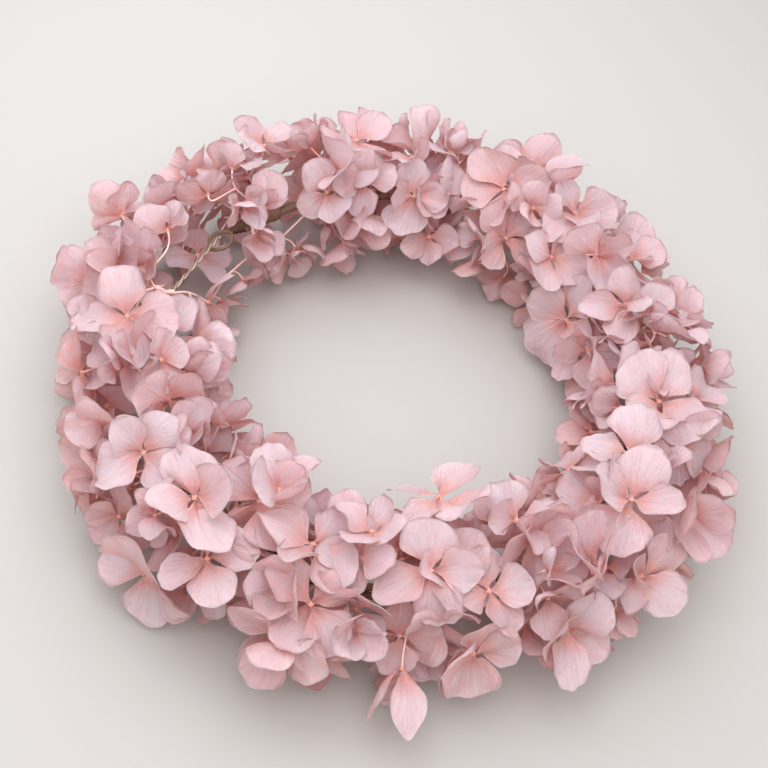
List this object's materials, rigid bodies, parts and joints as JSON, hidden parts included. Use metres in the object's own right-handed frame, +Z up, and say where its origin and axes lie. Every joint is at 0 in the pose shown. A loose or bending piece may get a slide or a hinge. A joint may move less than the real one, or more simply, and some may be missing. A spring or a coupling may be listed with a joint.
{
  "type": "flower crown",
  "caption": "Open-ended wire ring bound all round with sprigs of four-petalled florets, closed at the back by a wire hook and eye, worn on the head.",
  "frame": {"origin": "middle of the head opening, on the surface that the crown lies on", "axes": "+Z up out of the crown's top, +Y to the clasp at the back, +X to the side that carries the eye"},
  "size_m": [0.2471, 0.2469, 0.0651],
  "materials": {
    "petal": "matte, thin, veined preserved petal",
    "stem_wrap": "matte stretched floral tape",
    "strand": "matte paper-wrapped wire",
    "eye": "matte paper-wrapped wire",
    "hook": "bare twisted wire, slightly dull"
  },
  "bodies": {
    "front": {"outer_strand_front": "strand", "inner_strand_front": "strand", "sprig_6": "petal", "stem_wrap_6": "stem_wrap", "sprig_7": "petal", "stem_wrap_7": "stem_wrap", "sprig_8": "petal", "stem_wrap_8": "stem_wrap", "sprig_9": "petal", "stem_wrap_9": "stem_wrap", "sprig_10": "petal", "stem_wrap_10": "stem_wrap"},
    "left_side": {"outer_strand_left_side": "strand", "inner_strand_left_side": "strand", "sprig_4": "petal", "stem_wrap_4": "stem_wrap", "sprig_5": "petal", "stem_wrap_5": "stem_wrap"},
    "left_back": {"outer_strand_left_back": "strand", "inner_strand_left_back": "strand", "sprig_1": "petal", "stem_wrap_1": "stem_wrap", "sprig_2": "petal", "stem_wrap_2": "stem_wrap", "sprig_3": "petal", "stem_wrap_3": "stem_wrap", "hook_wrap": "stem_wrap"},
    "right_side": {"outer_strand_right_side": "strand", "inner_strand_right_side": "strand", "sprig_11": "petal", "stem_wrap_11": "stem_wrap", "sprig_12": "petal", "stem_wrap_12": "stem_wrap"},
    "right_back": {"outer_strand_right_back": "strand", "inner_strand_right_back": "strand", "sprig_13": "petal", "stem_wrap_13": "stem_wrap", "sprig_14": "petal", "stem_wrap_14": "stem_wrap", "sprig_15": "petal", "stem_wrap_15": "stem_wrap", "eye_loop": "eye", "eye_neck": "stem_wrap"},
    "hook": {"hook": "hook"}
  },
  "joints": [
    {"name": "right_front_bend", "type": "hinge", "parent": "front", "child": "right_side", "pos_m": [0.07534, -0.0435, 0.025], "axis": [0, 0, 1], "range_deg": [-5, 0]},
    {"name": "right_back_bend", "type": "hinge", "parent": "right_side", "child": "right_back", "pos_m": [0.08363, 0.02398, 0.025], "axis": [0, 0, 1], "range_deg": [-5, 0]},
    {"name": "left_front_bend", "type": "hinge", "parent": "front", "child": "left_side", "pos_m": [-0.07534, -0.0435, 0.025], "axis": [0, 0, 1], "range_deg": [0, 5]},
    {"name": "left_back_bend", "type": "hinge", "parent": "left_side", "child": "left_back", "pos_m": [-0.08363, 0.02398, 0.025], "axis": [0, 0, 1], "range_deg": [0, 5]},
    {"name": "hook_lift", "type": "hinge", "parent": "left_back", "child": "hook", "pos_m": [-0.0243, 0.08354, 0.0262], "axis": [0.0981, -0.9952, 0], "range_deg": [0, 75]}
  ],
  "couplings": [
    {"joint": "right_back_bend", "follows": "right_front_bend", "ratio": 1},
    {"joint": "left_front_bend", "follows": "right_front_bend", "ratio": -1},
    {"joint": "left_back_bend", "follows": "right_front_bend", "ratio": -1},
    {"joint": "hook_lift", "follows": "right_front_bend", "ratio": -15}
  ]
}
